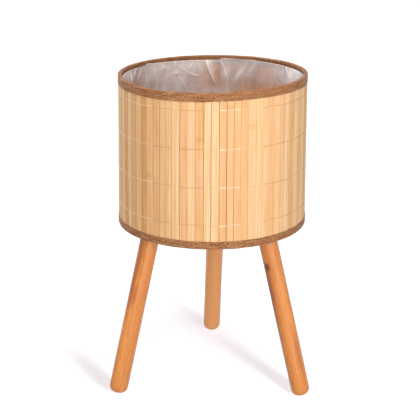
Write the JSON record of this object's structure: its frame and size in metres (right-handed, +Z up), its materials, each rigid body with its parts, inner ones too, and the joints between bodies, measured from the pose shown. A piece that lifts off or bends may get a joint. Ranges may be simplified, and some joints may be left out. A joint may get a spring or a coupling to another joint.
{
  "type": "footed flower pot",
  "caption": "Round planter of bamboo slats with brown taped rims and a clear film liner, standing on splayed round wooden legs.",
  "frame": {"origin": "on the floor, at the middle of the underside of the pot's bounding box; the drum's own axis is the vertical line x = -0.00489, y = -0.01468", "axes": "+Z up, -Y out of the front, +Y from the drum's axis towards the rear leg's plate"},
  "size_m": [0.2718, 0.2808, 0.4315],
  "materials": {
    "bamboo": "split bamboo slats, skin side out, satin",
    "backing_cloth": "thin non-woven cloth",
    "thread": "smooth thread with a slight shine",
    "tape": "mottled brown woven tape, matte",
    "film": "clear polyethylene film, glossy and slightly milky",
    "strip": "translucent adhesive strip",
    "plywood": "bare plywood",
    "stained_wood": "turned dowel, honey stain, satin varnish",
    "plated_steel": "zinc plated, dull",
    "bright_steel": "zinc plated, bright"
  },
  "bodies": {
    "root": {"bamboo_mat": "bamboo", "backing_cloth": "backing_cloth", "weft_thread_1": "thread", "weft_thread_2": "thread", "weft_thread_3": "thread", "weft_thread_4": "thread", "top_tape": "tape", "bottom_tape": "tape", "rim_hoop": "plated_steel", "film_liner": "film", "liner_strip": "strip", "base_disc": "plywood", "leg_1": "stained_wood", "leg_2": "stained_wood", "leg_3": "stained_wood", "leg_plate_1": "plated_steel", "leg_plate_2": "plated_steel", "leg_plate_3": "plated_steel", "hanger_bolt_1": "bright_steel", "hanger_bolt_2": "bright_steel", "hanger_bolt_3": "bright_steel", "plate_screw_1_1": "bright_steel", "plate_screw_1_2": "bright_steel", "plate_screw_1_3": "bright_steel", "plate_screw_1_4": "bright_steel", "plate_screw_2_1": "bright_steel", "plate_screw_2_2": "bright_steel", "plate_screw_2_3": "bright_steel", "plate_screw_2_4": "bright_steel", "plate_screw_3_1": "bright_steel", "plate_screw_3_2": "bright_steel", "plate_screw_3_3": "bright_steel", "plate_screw_3_4": "bright_steel", "tack_01": "bright_steel", "tack_02": "bright_steel", "tack_03": "bright_steel", "tack_04": "bright_steel", "tack_05": "bright_steel", "tack_06": "bright_steel", "tack_07": "bright_steel", "tack_08": "bright_steel", "tack_09": "bright_steel", "tack_10": "bright_steel", "tack_11": "bright_steel", "tack_12": "bright_steel"}
  },
  "joints": []
}
